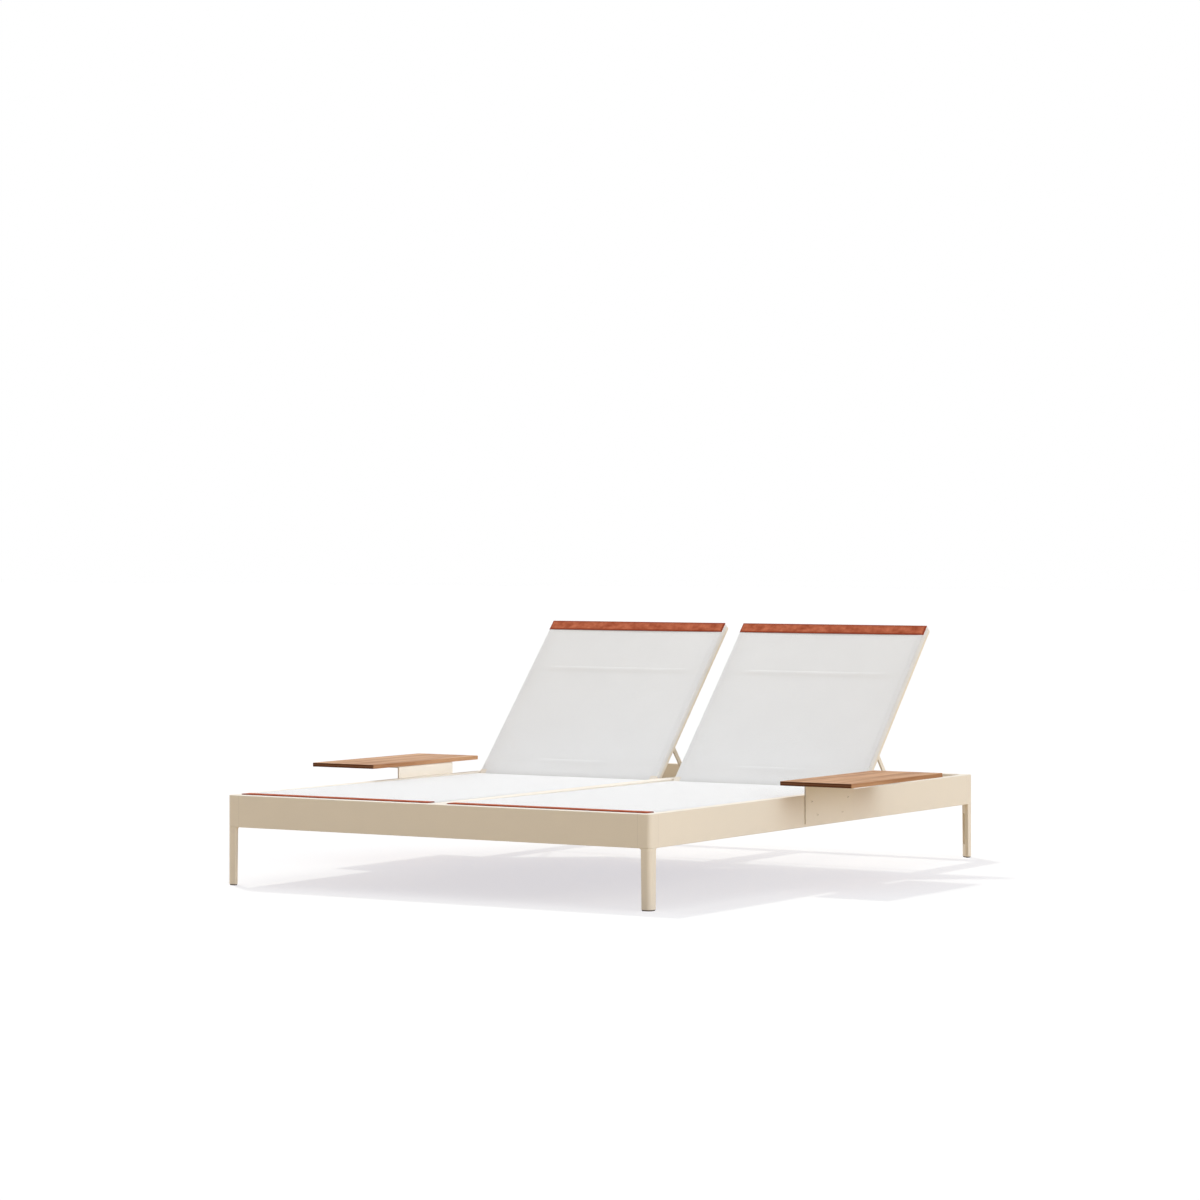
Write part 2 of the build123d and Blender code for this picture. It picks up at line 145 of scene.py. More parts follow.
floor_mesh = bpy.data.meshes.new("floor")
floor_mesh.from_pydata(
    [(-floor_reach, -floor_reach, 0), (floor_reach, -floor_reach, 0),
     (floor_reach, floor_reach, 0), (-floor_reach, floor_reach, 0)], [], [(0, 1, 2, 3)])
floor = bpy.data.objects.new("floor", floor_mesh)
bpy.context.collection.objects.link(floor)
floor_paint, tree = new_material("floor_paint")
lit = add(tree, "BsdfDiffuse", {"Color": floor_lit})
shown = add(tree, "BsdfDiffuse", {"Color": floor_shown})
glow = add(tree, "Emission", {"Color": floor_glow, "Strength": floor_glow_strength})
both = add(tree, "AddShader", {0: shown.outputs[0], 1: glow.outputs[0]})
mixed = add(tree, "MixShader", {0: sees_background(tree), 1: lit.outputs[0], 2: both.outputs[0]})
add(tree, "OutputMaterial", {"Surface": mixed.outputs[0]})
floor_mesh.materials.append(floor_paint)

# Rails: rectangular aluminium extrusions with a cream satin powder coat, butted on the
# cast corners and the centre rail, which runs between the front and the rear rail.
cream = (0.91, 0.845, 0.748)
coat_deep = 0.955
coat_pale = 1.035
coat_cloud_scale = 9.0
coat_cloud_share = 0.55
coat_grain_scale = 1400.0
coat_grain_share = 0.45
coat_roughness = (0.46, 0.54)
coat_shine = 0.35
# How dark the fine joints are, and the painted shade on cut edges.
joint_and_edge_shade = 0.76
peel_scale = 620.0
peel_grain_share = 0.5
peel_depth = 0.00012
peel_strength = 0.55
usual_noise = (0.3, 0.7)


def mixed_colour(tree, share, first, second):
    """First colour where share is 0, second where it is 1."""
    ramp = add(tree, "ValToRGB", {0: share})
    ramp.color_ramp.elements[0].color = (*first, 1)
    ramp.color_ramp.elements[1].color = (*second, 1)
    return ramp.outputs[0]


def noise(tree, place, scale, detail=2.0, roughness=0.5):
    """Fine or broad irregularity from 0 to 1."""
    sockets = {"Vector": place, "Scale": scale, "Detail": detail, "Roughness": roughness}
    return add(tree, "TexNoise", sockets).outputs["Fac"]


def own_place(tree):
    """Where on its own mesh a point is, in metres."""
    return add(tree, "TexCoord").outputs["Object"]


def bump(tree, height, depth, strength=1.0):
    """Surface relief of that depth in metres."""
    return add(tree, "Bump", {"Height": height, "Distance": depth, "Strength": strength}).outputs[0]


def ends_in(tree, shader):
    """Puts a shader on the material's surface."""
    add(tree, "OutputMaterial", {"Surface": shader})


def span(tree, value, low, high, start=0.0, end=1.0):
    """Maps low..high to start..end and holds it there."""
    sockets = {"Value": value, "From Min": low, "From Max": high, "To Min": start, "To Max": end}
    return add(tree, "MapRange", sockets).outputs[0]


def varied(tree, irregular, start=0.0, end=1.0):
    """Turns the range that a noise mostly takes into start..end."""
    return span(tree, irregular, *usual_noise, start, end)


def plus(tree, first, second, share):
    """The first value plus a share of the second."""
    return maths(tree, "ADD", first, maths(tree, "MULTIPLY", second, share))


def powder_coat(name, colour, joints_and_shade_lines=()):
    """Satin powder coat: fine orange peel, faint clouding, darker fine joints, and painted shade on cut
    edges.

    A dark line, a joint or painted shade on a cut edge, lies on both sides of a middle plane: (axis,
    middle, distance, width)."""
    material, tree = new_material(name)
    place = own_place(tree)
    clouds = noise(tree, place, coat_cloud_scale, detail=3.0)
    grain = noise(tree, place, coat_grain_scale)
    tone = plus(tree, maths(tree, "MULTIPLY", grain, coat_grain_share), clouds, coat_cloud_share)
    deep = tuple(c * coat_deep for c in colour)
    pale = tuple(c * coat_pale for c in colour)
    paint = mixed_colour(tree, tone, deep, pale)
    if joints_and_shade_lines:
        parts = add(tree, "SeparateXYZ", {0: place}).outputs
        line = 0.0
        for axis, middle, distance, width in joints_and_shade_lines:
            away = maths(tree, "ABSOLUTE", maths(tree, "SUBTRACT", parts[axis], middle))
            away = maths(tree, "ABSOLUTE", maths(tree, "SUBTRACT", away, distance))
            line = maths(tree, "MAXIMUM", span(tree, away, width / 2, width, 1.0, 0.0), line)
        shaded = (*(c * joint_and_edge_shade for c in colour), 1)
        paint = add(tree, "MixRGB", {"Fac": line, "Color1": paint, "Color2": shaded}).outputs[0]
    peel = plus(tree, noise(tree, place, peel_scale, detail=3.0), grain, peel_grain_share)
    shader = add(tree, "BsdfPrincipled", {
        "Base Color": paint,
        "Roughness": varied(tree, clouds, *coat_roughness),
        "Normal": bump(tree, peel, peel_depth, peel_strength),
        "Specular IOR Level": coat_shine,
    })
    ends_in(tree, shader.outputs[0])
    return material


def dress(name, material):
    """Gives a node of the frame its finish."""
    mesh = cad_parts[name].data
    mesh.materials.clear()
    mesh.materials.append(material)


rail_coat = powder_coat("cream_powder_coat", cream)
for name in ("front_rail", "rear_rail", "centre_rail", "right_side_rail", "left_side_rail"):
    dress(name, rail_coat)

# Corner legs: cast aluminium blocks as high as the rails, each in one piece with a tapered
# leg that has a pocket in its inner face, coated like the rails and joined on a fine line.
cross_joint = 0.683
side_joint = 0.958
joint_width = 0.0008
corner_joints = ((0, 0.0, cross_joint, joint_width), (1, 0.0, side_joint, joint_width))
corner_coat = powder_coat("cream_coat_on_casting", cream, corner_joints)
for name in ("front_left_leg", "front_right_leg", "rear_right_leg", "rear_left_leg"):
    dress(name, corner_coat)

# Foot pads: thin moulded glides under the legs, matt black, pressed into the open foot
# ends of the castings, and scuffed by the floor.
pad_deep = (0.035, 0.033, 0.031)
pad_worn = (0.085, 0.08, 0.075)
pad_scuff_scale = 240.0
pad_scuff_depth = 0.0002
pad_roughness = (0.55, 0.8)
glide, tree = new_material("black_glide")
scuffs = noise(tree, own_place(tree), pad_scuff_scale, detail=4.0)
shader = add(tree, "BsdfPrincipled", {
    "Base Color": mixed_colour(tree, scuffs, pad_deep, pad_worn),
    "Roughness": varied(tree, scuffs, *pad_roughness),
    "Normal": bump(tree, scuffs, pad_scuff_depth, strength=0.5),
})
ends_in(tree, shader.outputs[0])
dress("foot_pads", glide)

# Seat frames: two long tubes with a foot tube, two low crossbars and a rear tube between
# them, welded, coated cream, and lying on angle brackets on the rails.
# Each side's name and the sign of its x values.
both_sides = (("right", 1), ("left", -1))
for side, _ in both_sides:
    for name in ("seat_side_tubes", "seat_cross_tubes", "seat_brackets"):
        dress(f"{side}_{name}", rail_coat)

# Seat slings: white coated-yarn mesh, cut to size, pulled tight over the seat frame with a
# fine crease over each crossbar, turned down over all four sides and held by a welted hem
# with one row of stitches.
panel_half = 0.3312
panel_centre = 0.3646
half_thickness = 0.0145
seat_front = (-0.9715, 0.2665)
seat_length = 1.2518
seat_fall = math.radians(0.2883)
sling_thick = 0.0003
sling_sag = 0.0015
sag_reach = 0.12
turn_radius = 0.0032
turn_steps = 4
side_drop = 0.017
end_drop = 0.0205
sharp_fold = math.radians(24)
cloth_step = 0.03
tongue_step = 0.04
# The hem along each side stands proud of the cloth between two small steps.
hem_width = 0.016
hem_rise = 0.0004
hem_inner_step = 0.0008
hem_outer_step = 0.0006
hem_stitch_inset = 0.004
# Each crease: how far along the panel it lies, and half its length. Its side towards the
# head is steep and its other side gentle.
seat_creases = ((0.6168, 0.250), (1.1318, 0.250))
crease_fade = 0.030
crease_steep = 0.0024
crease_gentle = 0.0300
crease_rise = 0.0012
crease_steps = 4
# Lines of the cloth's net past the steep side keep its shading narrow, and no other line
# comes nearer to a crease than these two distances.
steps_past_crease = 2
column_gap = 0.001
station_gap = 1.2 * crease_gentle
# A stitch: its length, the gap to the next one and the radius of the thread.
hem_stitch = (0.0042, 0.0014, 0.00035)
stitch_sides = 6
# Rings of thread from one sunk end of a stitch to the other: how far along its length,
# and its height and its size in thread radii.
stitch_rings = ((-0.5, -0.9, 0.4), (-0.3, 0.1, 0.9), (0, 0.35, 1.0), (0.3, 0.1, 0.9), (0.5, -0.9, 0.4))
past_foot_trim = 0.045
before_turn = 0.006
yarn_pitch = 0.0022
hole_edge = (0.32, 0.46)
yarn_grey = (0.882, 0.888, 0.896)
yarn_white = (0.936, 0.942, 0.950)
yarn_glow = (0.96, 0.96, 0.96, 1)
yarn_glow_share = 0.04
yarn_cloud_scale = 7.0
yarn_grain_scale = 420.0
yarn_heights = (0.2, 0.9)
yarn_roughness = (0.7, 0.5)
yarn_relief = 0.0004
yarn_shine = 0.3
streak_stretch = (3.0, 60.0, 1.0)
streak_scale = 4.0
one_third = 0.333
thread_white = (0.80, 0.80, 0.79)
thread_shade = 0.8
thread_twist_scale = 2500.0
thread_relief = 0.0002
thread_roughness = (0.5, 0.7)


def new_piece(name, verts, faces, uvs=None, smooth=True):
    """A mesh object from corner points and faces, with a flat pattern if it has one."""
    mesh = bpy.data.meshes.new(name)
    mesh.from_pydata([tuple(v) for v in verts], [], faces)
    if uvs:
        layer = mesh.uv_layers.new(name="UVMap")
        for loop in mesh.loops:
            layer.data[loop.index].uv = uvs[loop.vertex_index]
    for polygon in mesh.polygons:
        polygon.use_smooth = smooth
    piece = bpy.data.objects.new(name, mesh)
    bpy.context.collection.objects.link(piece)
    return piece


def apply_modifiers(piece):
    """Keeps the shape that the piece's modifiers give it."""
    graph = bpy.context.evaluated_depsgraph_get()
    shaped = bpy.data.meshes.new_from_object(piece.evaluated_get(graph))
    piece.modifiers.clear()
    piece.data = shaped


class Cloth:
    """Corner points, pattern points and faces of a sheet as it is laid out."""

    def __init__(self):
        self.points, self.pattern, self.faces, self.known = [], [], [], {}

    def point(self, place, pattern):
        """The number of the corner at that place, to a micron, new or already laid."""
        key = tuple(round(c, 6) for c in place)
        if key not in self.known:
            self.known[key] = len(self.points)
            self.points.append(place)
            self.pattern.append(pattern)
        return self.known[key]

    def lay(self, rows):
        """Cloth between neighbouring rows of points."""
        for a, b in zip(rows, rows[1:]):
            for i in range(len(a) - 1):
                face = list(dict.fromkeys((a[i], a[i + 1], b[i + 1], b[i])))
                if len(face) > 2:
                    self.faces.append(face)

    def turned_down(self, x, y, nx, ny, drop):
        """One line of cloth round the edge of the top and down by drop."""
        bends = [(turn_radius * math.sin(a), turn_radius * (1 - math.cos(a)), turn_radius * a)
                 for a in (math.pi / 2 * i / turn_steps for i in range(turn_steps + 1))]
        for share in (0.5, 1.0):
            fall = share * (drop - turn_radius)
            bends.append((turn_radius, turn_radius + fall, turn_radius * math.pi / 2 + fall))
        return [self.point((x + nx * out, y + ny * out, half_thickness - low), (x + nx * run, y + ny * run))
                for out, low, run in bends]


def even(low, high, step):
    """Evenly spaced values from low to high, about a step apart."""
    count = max(1, round((high - low) / step))
    return [low + (high - low) * i / count for i in range(count + 1)]


def sling_sheet(name, first, last, creases, turned_start, tongue=None):
    """A tight sling: flat top with a hem along each side, turned down at its sides and ends.

    In the panel's own frame, y runs along it and z is 0 at mid-thickness. A fine raised crease
    crosses it where a crossbar holds it up; creases gives the y and the half length of each."""
    cloth = Cloth()
    flat_x = panel_half - turn_radius
    hem = flat_x - hem_width
    inside = even(hem_inner_step - hem, hem - hem_inner_step, cloth_step)
    ends = {k * x for _, reach in creases for k in (-1, 1) for x in (reach, reach - crease_fade)}
    inside = sorted({x for x in inside if all(abs(x - end) > column_gap for end in ends)} | ends)
    columns = [-flat_x, hem_outer_step - flat_x, -hem, *inside, hem, flat_x - hem_outer_step, flat_x]
    stations = [y for y in even(first, last, cloth_step)
                if all(abs(y - c) > station_gap for c, _ in creases)]
    steep_lines = range(1, crease_steps + steps_past_crease + 1)
    stations += [c - k * crease_gentle / crease_steps for c, _ in creases for k in range(crease_steps + 1)]
    stations += [c + k * crease_steep / crease_steps for c, _ in creases for k in steep_lines]
    stations.sort()

    def crease(x, y):
        """How far the nearest crease lifts the cloth there."""
        along, reach = min(((y - c, reach) for c, reach in creases), key=lambda near: abs(near[0]))
        away = along / crease_steep if along > 0 else -along / crease_gentle
        if away >= 1:
            return 0.0
        fade = max(0.0, min(1.0, (reach - abs(x)) / crease_fade))
        return crease_rise * fade * (1 + math.cos(math.pi * away)) / 2

    def top(x, y):
        """A corner on the upper face."""
        across = max(0.0, 1 - (x / hem) ** 2)
        along = max(0.0, min(1.0, (y - first) / sag_reach, (last - y) / sag_reach))
        rise = hem_rise if hem <= abs(x) < flat_x - hem_outer_step / 2 else 0.0
        rise += crease(x, y) - sling_sag * across * along * (2 - along)
        return cloth.point((x, y, half_thickness + rise), (x, y))

    cloth.lay([[top(x, y) for x in columns] for y in stations])
    bends = [(math.cos(a), math.sin(a), side_drop + (end_drop - side_drop) * i / turn_steps)
             for i, a in ((i, math.pi / 2 * i / turn_steps) for i in range(1, turn_steps))]
    path = [(flat_x, y, 1, 0, side_drop) for y in stations]
    path += [(flat_x, last, c, s, drop) for c, s, drop in bends]
    path += [(x, last, 0, 1, end_drop) for x in reversed(columns)]
    path += [(-flat_x, last, -c, s, drop) for c, s, drop in reversed(bends)]
    path += [(-flat_x, y, -1, 0, side_drop) for y in reversed(stations)]
    if turned_start:
        path += [(-flat_x, first, -c, -s, drop) for c, s, drop in bends]
        path += [(x, first, 0, -1, end_drop) for x in columns]
        path += [(flat_x, first, c, -s, drop) for c, s, drop in reversed(bends)]
        path.append(path[0])
    around = []
    for x, y, nx, ny, drop in path:
        strip = cloth.turned_down(x, y, nx, ny, drop)
        strip[0] = top(x, y)
        around.append(strip)
    cloth.lay(around)
    if tongue:
        half, start = tongue
        across = even(-half, half, tongue_step)
        edge = start + turn_radius
        falls = [cloth.turned_down(x, edge, 0, -1, end_drop) for x in across]
        rows = [list(row) for row in zip(*falls)][::-1]
        rows.append([cloth.point((x, first, half_thickness), (x, first)) for x in across])
        cloth.lay(rows)
    piece = new_piece(name, cloth.points, cloth.faces, cloth.pattern)
    thicken = piece.modifiers.new("thickness", "SOLIDIFY")
    thicken.thickness = sling_thick
    thicken.offset = -1.0
    apply_modifiers(piece)
    piece.data.set_sharp_from_angle(angle=sharp_fold)
    return piece


def stitch_rows(name, rows, stitch):
    """Rows of thread between two points each, every stitch an arched bead with sunk ends."""
    length, gap, radius = stitch
    points, faces = [], []
    for start, end in rows:
        start, end = Vector(start), Vector(end)
        run = (end - start).normalized()
        side = run.cross(Vector((0, 0, 1)))
        for i in range(int((end - start).length / (length + gap))):
            middle = start + run * ((i + 0.5) * (length + gap))
            base = len(points)
            for share, lift, size in stitch_rings:
                centre = middle + run * (share * length) + Vector((0, 0, lift * radius))
                for k in range(stitch_sides):
                    a = 2 * math.pi * k / stitch_sides
                    outward = side * math.cos(a) + Vector((0, 0, math.sin(a)))
                    points.append(centre + outward * (radius * size))
            last_ring = len(stitch_rings) - 1
            for ring in range(last_ring):
                for k in range(stitch_sides):
                    a = base + ring * stitch_sides + k
                    b = base + ring * stitch_sides + (k + 1) % stitch_sides
                    faces.append((a, b, b + stitch_sides, a + stitch_sides))
            faces.append(tuple(base + k for k in reversed(range(stitch_sides))))
            faces.append(tuple(base + last_ring * stitch_sides + k for k in range(stitch_sides)))
    return new_piece(name, points, faces)


def woven_sling():
    """White mesh of coated yarns with an open space between them, slightly uneven."""
    material, tree = new_material("white_woven_sling")
    pattern = add(tree, "TexCoord").outputs["UV"]
    parts = add(tree, "SeparateXYZ", {0: pattern}).outputs
    yarns = []
    for axis in (0, 1):
        wave = maths(tree, "SINE", maths(tree, "MULTIPLY", parts[axis], math.pi / yarn_pitch))
        yarns.append(maths(tree, "ABSOLUTE", wave))
    cover = maths(tree, "MAXIMUM", *yarns)
    relief = maths(tree, "MULTIPLY", maths(tree, "ADD", *yarns), 0.5)
    stretch = add(tree, "Mapping", {"Vector": pattern, "Scale": streak_stretch}).outputs[0]
    streaks = noise(tree, stretch, streak_scale, detail=3.0)
    clouds = noise(tree, pattern, yarn_cloud_scale)
    grain = noise(tree, pattern, yarn_grain_scale)
    uneven = maths(tree, "ADD", maths(tree, "ADD", streaks, clouds), grain)
    tone = maths(tree, "MULTIPLY", uneven, one_third)
    shader = add(tree, "BsdfPrincipled", {
        "Base Color": mixed_colour(tree, varied(tree, tone), yarn_grey, yarn_white),
        "Roughness": span(tree, relief, *yarn_heights, *yarn_roughness),
        "Alpha": span(tree, cover, *hole_edge),
        "Normal": bump(tree, relief, yarn_relief, strength=0.6),
        "Specular IOR Level": yarn_shine,
    })
    through = add(tree, "BsdfTranslucent", {"Color": yarn_glow})
    holes = add(tree, "BsdfTransparent")
    solid = span(tree, cover, *hole_edge)
    soft = add(tree, "MixShader", {0: solid, 1: holes.outputs[0], 2: through.outputs[0]})
    cloth = add(tree, "MixShader", {0: yarn_glow_share, 1: shader.outputs[0], 2: soft.outputs[0]})
    ends_in(tree, cloth.outputs[0])
    return material


def thread(name, colour):
    """Twisted sewing thread."""
    material, tree = new_material(name)
    twist = noise(tree, own_place(tree), thread_twist_scale)
    shader = add(tree, "BsdfPrincipled", {
        "Base Color": mixed_colour(tree, twist, tuple(c * thread_shade for c in colour), colour),
        "Roughness": varied(tree, twist, *thread_roughness),
        "Normal": bump(tree, twist, thread_relief, strength=0.5),
    })
    ends_in(tree, shader.outputs[0])
    return material


def hem_stitches(name, start, end):
    """The row of stitches along each side hem of a sling, from one y to another."""
    line = panel_half - turn_radius - hem_width + hem_stitch_inset
    height = half_thickness + hem_rise
    rows = [((k * line, start, height), (k * line, end, height)) for k in (-1, 1)]
    return stitch_rows(name, rows, hem_stitch)


def fit_sling(sling, stitching, place, body, node):
    """Puts a sling and its stitches on a panel; place carries the panel's own frame."""
    sling.data.materials.append(sling_mesh)
    stitching.data.materials.append(white_thread)
    for piece in (sling, stitching):
        piece.data.transform(place)
        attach(piece, body)
    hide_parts(node)


sling_mesh = woven_sling()
white_thread = thread("white_thread", thread_white)
seat_slings = {}
for side, sign in both_sides:
    place = (Matrix.Translation((sign * panel_centre, *seat_front)) @ Matrix.Rotation(-seat_fall, 4, "X")
             @ Matrix.Translation((0, 0, -half_thickness)))
    sling = sling_sheet(f"{side}_seat_mesh", turn_radius, seat_length - turn_radius, seat_creases, True)
    stitching = hem_stitches(f"{side}_seat_mesh_stitches", past_foot_trim, seat_length - before_turn)
    fit_sling(sling, stitching, place, "frame", f"{side}_seat_sling")
    seat_slings[side] = (sling, stitching, place)

# Foot trims: flat strips of terracotta leather sewn over the foot end of each seat sling,
# with a creased and stitched border, and painted shade on their edge walls.
trim_depth = 0.040
trim_thick = 0.0015
trim_border = 0.004
trim_inset = 0.0005
trim_step = 0.012
trim_rows = (0.012, 0.016, 0.020, 0.024, 0.028)
edge_rows = (0.0, 0.00015, 0.0004, 0.0008, 0.0014, 0.0022, 0.0034, 0.0038, 0.0042, 0.0046, 0.007)
edge_rounding = 0.0008
edge_fall = 0.0006
border_depth = 0.00035
border_width = 0.00045
swell_rise = 0.00005
swell_inset = 0.006
# The swell's waves, each by how fast it runs along the strip and across it.
swell_waves = ((41, 0), (97, 60), (163, 0))
trim_stitch = (0.0036, 0.0016, 0.0004)
trim_stitch_sink = 0.0002
leather_deep = (0.36, 0.068, 0.026)
leather_bright = (0.64, 0.186, 0.092)
leather_rim = (0.33, 0.055, 0.020, 1)
leather_stretch = (1.0, 1.3, 1.0)
leather_blotches = (0.34, 0.66)
leather_blotch_scale = 26.0
leather_pore_scale = 900.0
leather_rim_fade = (0.0035, 0.0065)
leather_roughness = (0.74, 0.62)
leather_relief = 0.00025
leather_shine = 0.04
# The strip's edge walls: a very dark colour, painted shade.
edge_shade_deep = (0.10, 0.022, 0.012)
edge_shade_bright = (0.20, 0.045, 0.02)
edge_streak_scale = 700.0
edge_roughness = (0.5, 0.65)
edge_relief = 0.0001
thread_rust = (0.34, 0.085, 0.04)


def leather_trim(name, y0, outer_end):
    """A leather strip over the rounded end of a panel; outer_end is the y of that end."""
    half = panel_half - trim_inset
    middle_x = even(trim_step - half, half - trim_step, trim_step)
    xs = [d - half for d in edge_rows] + middle_x + [half - d for d in reversed(edge_rows)]
    ys = [*edge_rows, *trim_rows] + [trim_depth - d for d in reversed(edge_rows)]
    ys = [y0 + trim_inset + d * (trim_depth - 2 * trim_inset) / trim_depth for d in ys]
    shaker = random.Random(name)
    phases = [shaker.uniform(0, 6.28) for _ in swell_waves]

    def under(x, y):
        """Height of the panel's rounded top, on which the strip lies."""
        edge = min(panel_half - abs(x), abs(y - outer_end))
        if edge >= turn_radius:
            return half_thickness
        return half_thickness - turn_radius + math.sqrt(turn_radius ** 2 - (turn_radius - edge) ** 2)

    def thick(x, y):
        """Thickness: rounded at the edges, creased along the border and softly uneven."""
        edge = min(half - abs(x), y - ys[0], ys[-1] - y)
        rounding = max(0.0, 1 - edge / edge_rounding)
        crease = border_depth * math.exp(-((edge - trim_border) / border_width) ** 2)
        waves = sum(math.sin(x * a + y * b + phase) for (a, b), phase in zip(swell_waves, phases))
        swell = swell_rise * waves * min(1.0, edge / swell_inset)
        return trim_thick - edge_fall * (1 - math.sqrt(max(0.0, 1 - rounding ** 2))) - crease + swell

    points, pattern, faces = [], [], []
    rows, columns = len(ys), len(xs)
    for layer in (1, 0):
        for y in ys:
            for x in xs:
                points.append((x, y, under(x, y) + layer * thick(x, y)))
                pattern.append((x, y - ys[0]))
    count = rows * columns
    for j in range(rows - 1):
        for i in range(columns - 1):
            a = j * columns + i
            faces.append((a, a + 1, a + columns + 1, a + columns))
            faces.append((a + count, a + columns + count, a + columns + 1 + count, a + 1 + count))
    rim = [*range(columns)] + [j * columns + columns - 1 for j in range(1, rows)]
    rim += [(rows - 1) * columns + i for i in reversed(range(columns - 1))]
    rim += [j * columns for j in reversed(range(1, rows - 1))]
    walls = len(faces)
    for a, b in zip(rim, rim[1:] + rim[:1]):
        faces.append((a, a + count, b + count, b))
    piece = new_piece(name, points, faces, pattern)
    # The edge walls take the second material, the painted shade.
    for polygon in piece.data.polygons[walls:]:
        polygon.material_index = 1
        polygon.use_smooth = False
    return piece


def trim_stitches(name, y0):
    """Stitches along the crease of a strip's border."""
    inset = trim_inset + trim_border
    half = panel_half - inset
    height = half_thickness + trim_thick - trim_stitch_sink
    near, far = y0 + inset, y0 + trim_depth - inset
    rows = [((-half, y, height), (half, y, height)) for y in (near, far)]
    rows += [((k * half, near, height), (k * half, far, height)) for k in (-1, 1)]
    return stitch_rows(name, rows, trim_stitch)


def terracotta_leather():
    """Aniline leather: mottled terracotta, fine grain, darker towards the stitched border."""
    material, tree = new_material("terracotta_leather")
    pattern = add(tree, "TexCoord").outputs["UV"]
    parts = add(tree, "SeparateXYZ", {0: pattern}).outputs
    stretch = add(tree, "Mapping", {"Vector": pattern, "Scale": leather_stretch}).outputs[0]
    blotches = noise(tree, stretch, leather_blotch_scale, detail=4.0, roughness=0.6)
    pores = add(tree, "TexVoronoi", {"Vector": pattern, "Scale": leather_pore_scale}).outputs["Distance"]
    centre = mixed_colour(tree, span(tree, blotches, *leather_blotches), leather_deep, leather_bright)
    rim = trim_depth - 2 * trim_inset
    inward = maths(tree, "MINIMUM", parts[1], maths(tree, "SUBTRACT", rim, parts[1]))
    sideways = maths(tree, "SUBTRACT", panel_half, maths(tree, "ABSOLUTE", parts[0]))
    edge = span(tree, maths(tree, "MINIMUM", inward, sideways), *leather_rim_fade, 1.0, 0.0)
    dyed = add(tree, "MixRGB", {"Fac": edge, "Color1": centre, "Color2": leather_rim}).outputs[0]
    grain = plus(tree, pores, blotches, 0.4)
    shader = add(tree, "BsdfPrincipled", {
        "Base Color": dyed,
        "Roughness": varied(tree, blotches, *leather_roughness),
        "Normal": bump(tree, grain, leather_relief, strength=0.5),
        "Specular IOR Level": leather_shine,
    })
    ends_in(tree, shader.outputs[0])
    return material


def edge_painted_shade():
    """Painted shade on the leather's edge walls: a very dark colour in place of the shade on them."""
    material, tree = new_material("leather_edge_paint")
    streaks = noise(tree, own_place(tree), edge_streak_scale, detail=3.0)
    shader = add(tree, "BsdfPrincipled", {
        "Base Color": mixed_colour(tree, streaks, edge_shade_deep, edge_shade_bright),
        "Roughness": varied(tree, streaks, *edge_roughness),
        "Normal": bump(tree, streaks, edge_relief, strength=0.4),
    })
    ends_in(tree, shader.outputs[0])
    return material


leather = terracotta_leather()
leather_edge_shade = edge_painted_shade()
leather_thread = thread("rust_thread", thread_rust)


def fit_trim(name, place, body, y0, outer_end, node):
    """Makes a strip and its stitches and sews them to a panel."""
    strip = leather_trim(name, y0, outer_end)
    strip.data.materials.append(leather)
    strip.data.materials.append(leather_edge_shade)
    stitching = trim_stitches(name + "_stitches", y0)
    stitching.data.materials.append(leather_thread)
    for piece in (strip, stitching):
        piece.data.transform(place)
        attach(piece, body)
    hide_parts(node)
    return strip, stitching


for side, _ in both_sides:
    sling, stitching, place = seat_slings[side]
    trim = fit_trim(f"{side}_foot_leather", place, "frame", 0.0, 0.0, f"{side}_foot_trim")

# Backrest frames: two tubes with cast, rounded knuckles at the foot, joined by a bottom
# tube, two low crossbars and a head tube, coated cream; they turn on stainless studs. The
# side tubes are closed at the head by small welded plates.
back_angle = math.radians(47.4)
hinge = (0.2973, 0.2475)
tube_end = 0.6618
tube_middle = 0.3196
end_plate_half_width = 0.00785
end_plate_half_height = 0.01135
end_plate_drop = 0.0006
# Rings of a plate from its back to its dished face: how far inside the tube's end each
# lies, and how far it is drawn in.
end_plate_rings = ((0.003, 0.0), (0.0006, 0.0), (0.0001, 0.0007), (0.0003, 0.0022))
steel_deep = (0.52, 0.51, 0.49)
steel_bright = (0.64, 0.63, 0.61)
steel_ring_stretch = (1.0, 0.1, 0.1)
steel_ring_scale = 2600.0
steel_roughness = (0.25, 0.38)
steel_relief = 0.00004


def stainless():
    """Plain turned stainless steel."""
    material, tree = new_material("turned_stainless")
    stretch = add(tree, "Mapping", {"Vector": own_place(tree), "Scale": steel_ring_stretch}).outputs[0]
    rings = noise(tree, stretch, steel_ring_scale)
    shader = add(tree, "BsdfPrincipled", {
        "Base Color": mixed_colour(tree, rings, steel_deep, steel_bright),
        "Roughness": varied(tree, rings, *steel_roughness),
        "Metallic": 1.0,
        "Normal": bump(tree, rings, steel_relief, strength=0.4),
    })
    ends_in(tree, shader.outputs[0])
    return material


def tube_ends(name, place):
    """Plates welded just inside the head ends of both side tubes, dished at the rim by the weld."""
    points, faces = [], []
    last_ring = len(end_plate_rings) - 1
    for middle in (tube_middle, -tube_middle):
        base = len(points)
        for back, inset in end_plate_rings:
            for i, j in ((-1, -1), (1, -1), (1, 1), (-1, 1)):
                points.append((middle + i * (end_plate_half_width - inset), tube_end - back,
                               j * (end_plate_half_height - inset) - end_plate_drop))
        faces.append(tuple(base + k for k in range(4)))
        for ring in range(last_ring):
            for k in range(4):
                a, b = base + 4 * ring + k, base + 4 * ring + (k + 1) % 4
                faces.append((a, a + 4, b + 4, b))
        faces.append(tuple(base + 4 * last_ring + k for k in reversed(range(4))))
    piece = new_piece(name, points, faces, smooth=False)
    piece.data.transform(place)
    piece.data.materials.append(rail_coat)
    return piece


def backrest_place(sign):
    """Carries a backrest panel's own frame to its hinge at the backrest's angle."""
    return Matrix.Translation((sign * panel_centre, *hinge)) @ Matrix.Rotation(back_angle, 4, "X")


